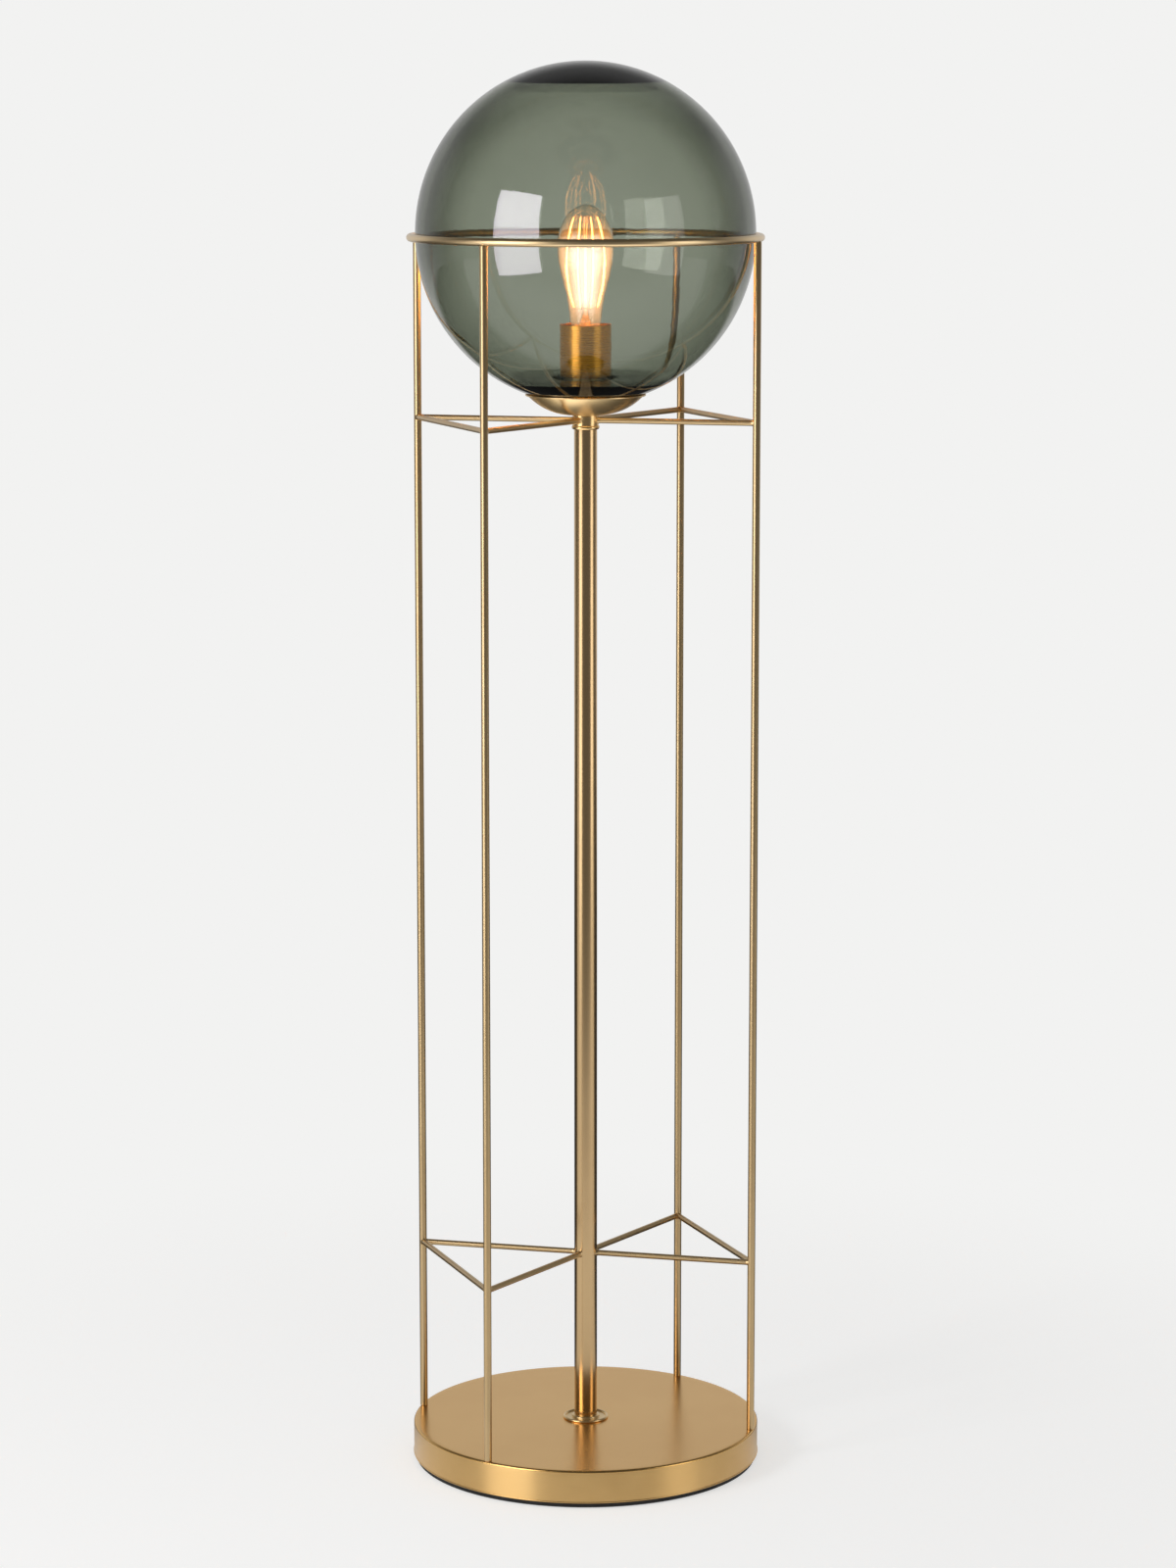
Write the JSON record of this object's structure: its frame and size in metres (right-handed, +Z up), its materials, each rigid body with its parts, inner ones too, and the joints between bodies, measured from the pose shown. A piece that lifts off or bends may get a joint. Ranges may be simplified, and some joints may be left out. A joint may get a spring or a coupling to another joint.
{
  "type": "globe floor lamp",
  "caption": "Floor lamp with a thick smoked glass globe on a slim brass column, inside a cage of upright brass rods with a top ring, bow-tie struts and a round weighted base.",
  "frame": {"origin": "on the floor, on the axis of the base and the column", "axes": "+Z up along the column; the cord outlet leaves the base 21 degrees past +Y, towards -X; -Y is the front that the picture shows"},
  "size_m": [0.3692, 0.3692, 1.4747],
  "materials": {
    "base_brass": "satin, fine circular grain",
    "turned_brass": "turned and lightly polished",
    "column_brass": "satin, drawn lengthwise",
    "cage_brass": "satin, drawn lengthwise",
    "sleeve_brass": "brushed round",
    "contact_brass": "stamped, plain",
    "cap_brass": "rolled sheet",
    "plain_steel": "zinc plated",
    "ballast_iron": "as cast, black",
    "foot_rubber": "black, matte",
    "dark_plastic": "dark moulded insulator",
    "pale_plastic": "moulded",
    "contact_ceramic": "glazed white",
    "brown_lead": "insulated lead",
    "blue_lead": "insulated lead",
    "green_lead": "insulated lead",
    "smoked_glass": "thick, smoked grey-green, polished",
    "bulb_clear_glass": "thin and clear",
    "glowing_filament": "glowing wire"
  },
  "bodies": {
    "stand": {"foot_pad": "foot_rubber", "bottom_plate": "plain_steel", "plate_screws": "plain_steel", "plate_spacers": "plain_steel", "base_cover": "base_brass", "ballast": "ballast_iron", "cord_grommet": "foot_rubber", "terminal_block": "pale_plastic", "terminal_screw": "plain_steel", "foot_ring": "turned_brass", "lower_nipple": "plain_steel", "lower_washer": "plain_steel", "lower_nut": "plain_steel", "cage_screws": "plain_steel", "rod_right": "cage_brass", "rod_back_right": "cage_brass", "rod_left": "cage_brass", "rod_front_left": "cage_brass", "top_ring": "cage_brass", "lower_strut_right": "cage_brass", "lower_strut_back_right": "cage_brass", "lower_strut_left": "cage_brass", "lower_strut_front_left": "cage_brass", "lower_tie_right": "cage_brass", "lower_tie_left": "cage_brass", "upper_strut_right": "cage_brass", "upper_strut_back_right": "cage_brass", "upper_strut_left": "cage_brass", "upper_strut_front_left": "cage_brass", "upper_tie_right": "cage_brass", "upper_tie_left": "cage_brass", "column": "column_brass", "bottom_bush": "plain_steel", "top_bush": "plain_steel", "upper_collar": "turned_brass", "cup": "turned_brass", "cup_gasket": "foot_rubber", "upper_nipple": "plain_steel", "cup_washer": "plain_steel", "cup_nut": "plain_steel", "holder_spacer": "turned_brass", "holder_base": "turned_brass", "holder_sleeve": "sleeve_brass", "holder_nut": "plain_steel", "holder_body": "dark_plastic", "contact_insert": "contact_ceramic", "screw_shell": "contact_brass", "centre_contact": "contact_brass", "lead_live": "brown_lead", "lead_neutral": "blue_lead", "lead_earth": "green_lead"},
    "globe": {"globe": "smoked_glass"},
    "bulb": {"bulb_glass": "bulb_clear_glass", "bulb_stem": "bulb_clear_glass", "filaments": "glowing_filament", "filament_supports": "plain_steel", "bulb_cap": "cap_brass", "bulb_insulator": "dark_plastic", "bulb_contact": "plain_steel"}
  },
  "joints": [
    {"name": "globe_lift", "type": "slide", "parent": "stand", "child": "globe", "axis": [0, 0, 1], "range_m": [0, 0.26]},
    {"name": "bulb_unscrew", "type": "slide", "parent": "stand", "child": "bulb", "axis": [0, 0, 1], "range_m": [0, 0.03]}
  ]
}
